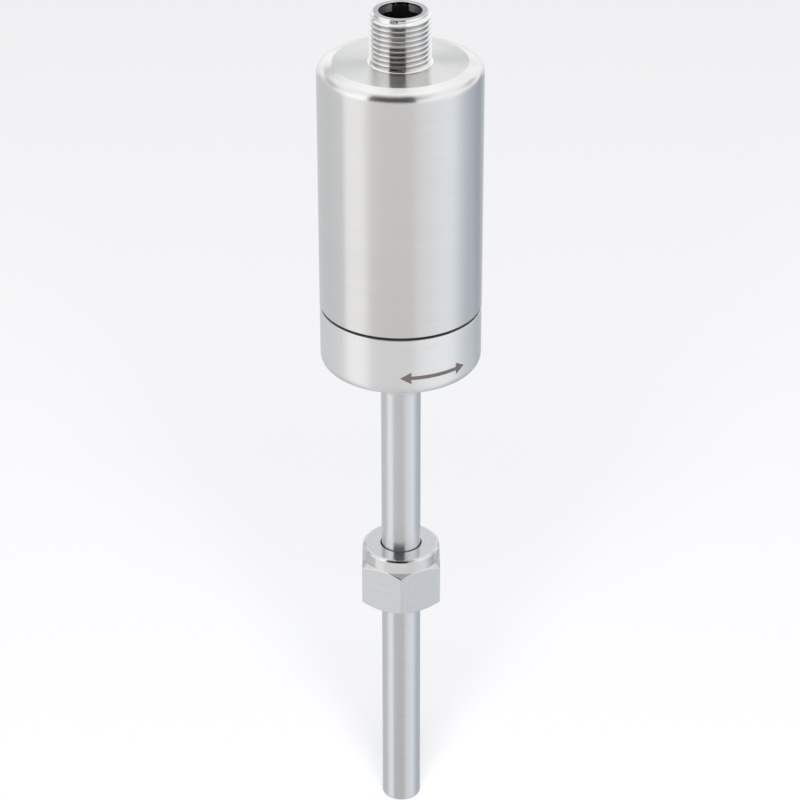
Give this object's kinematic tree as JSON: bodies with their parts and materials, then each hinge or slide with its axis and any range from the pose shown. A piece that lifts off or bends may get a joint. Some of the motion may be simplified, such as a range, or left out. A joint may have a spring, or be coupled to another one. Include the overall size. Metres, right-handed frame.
{
  "type": "insertion flow sensor",
  "caption": "Insertion flow sensor: round steel housing with a threaded plug connector on top, a base ring, and a long thin probe carrying a loose compression nut.",
  "frame": {"origin": "on the probe's axis, level with the lower face of the union nut as it stands in the picture, where the compression fitting grips the probe", "axes": "+Z along the probe's axis from the tip towards the plug connector; -Y towards the side of the base ring with the left end of the flow arrow"},
  "size_m": [0.032, 0.032, 0.1804],
  "materials": {
    "turned_steel": "finely turned stainless steel, fine lines round the axis",
    "nut_steel": "smooth machined stainless steel",
    "black_plastic": "moulded, half gloss",
    "holder_plastic": "moulded, matt",
    "black_rubber": "matt",
    "gold_plate": "gold-plated brass",
    "board_green": "lacquered circuit board",
    "chip_black": "moulded, matt",
    "can_silver": "drawn aluminium",
    "element_white": "unglazed",
    "lead_jacket": "extruded"
  },
  "bodies": {
    "sensor": {"housing": "turned_steel", "base_flange": "turned_steel", "connector_shell": "turned_steel", "probe_sleeve": "turned_steel", "connector_lock_nut": "nut_steel", "contact_carrier": "black_plastic", "contact_pin_1": "gold_plate", "contact_pin_2": "gold_plate", "contact_pin_3": "gold_plate", "contact_pin_4": "gold_plate", "seam_seal": "black_rubber", "base_o_ring": "black_rubber", "connector_gasket": "black_rubber", "lead_grommet": "black_rubber", "pin_board": "board_green", "main_board": "board_green", "board_holder": "holder_plastic", "supply_header": "holder_plastic", "probe_header": "holder_plastic", "controller_chip": "chip_black", "inductor": "chip_black", "capacitor_1": "can_silver", "capacitor_2": "can_silver", "supply_lead_1": "lead_jacket", "supply_lead_2": "lead_jacket", "supply_lead_3": "lead_jacket", "supply_lead_4": "lead_jacket", "probe_lead_1": "lead_jacket", "probe_lead_2": "lead_jacket", "probe_lead_3": "lead_jacket", "probe_lead_4": "lead_jacket", "element_strip": "element_white", "heater_element": "element_white", "flow_thermometer": "element_white", "reference_thermometer": "element_white", "centring_bush_1": "element_white", "centring_bush_2": "element_white"},
    "ferrules": {"front_ferrule": "nut_steel", "back_ferrule": "nut_steel"},
    "nut": {"union_nut": "nut_steel"}
  },
  "joints": [
    {"name": "fitting_slide", "type": "slide", "parent": "sensor", "child": "ferrules", "axis": [0, 0, 1], "range_m": [-0.05, 0.0364]},
    {"name": "nut_spin", "type": "hinge", "parent": "ferrules", "child": "nut", "pos_m": [0, 0, 0], "axis": [0, 0, 1], "continuous": true}
  ]
}
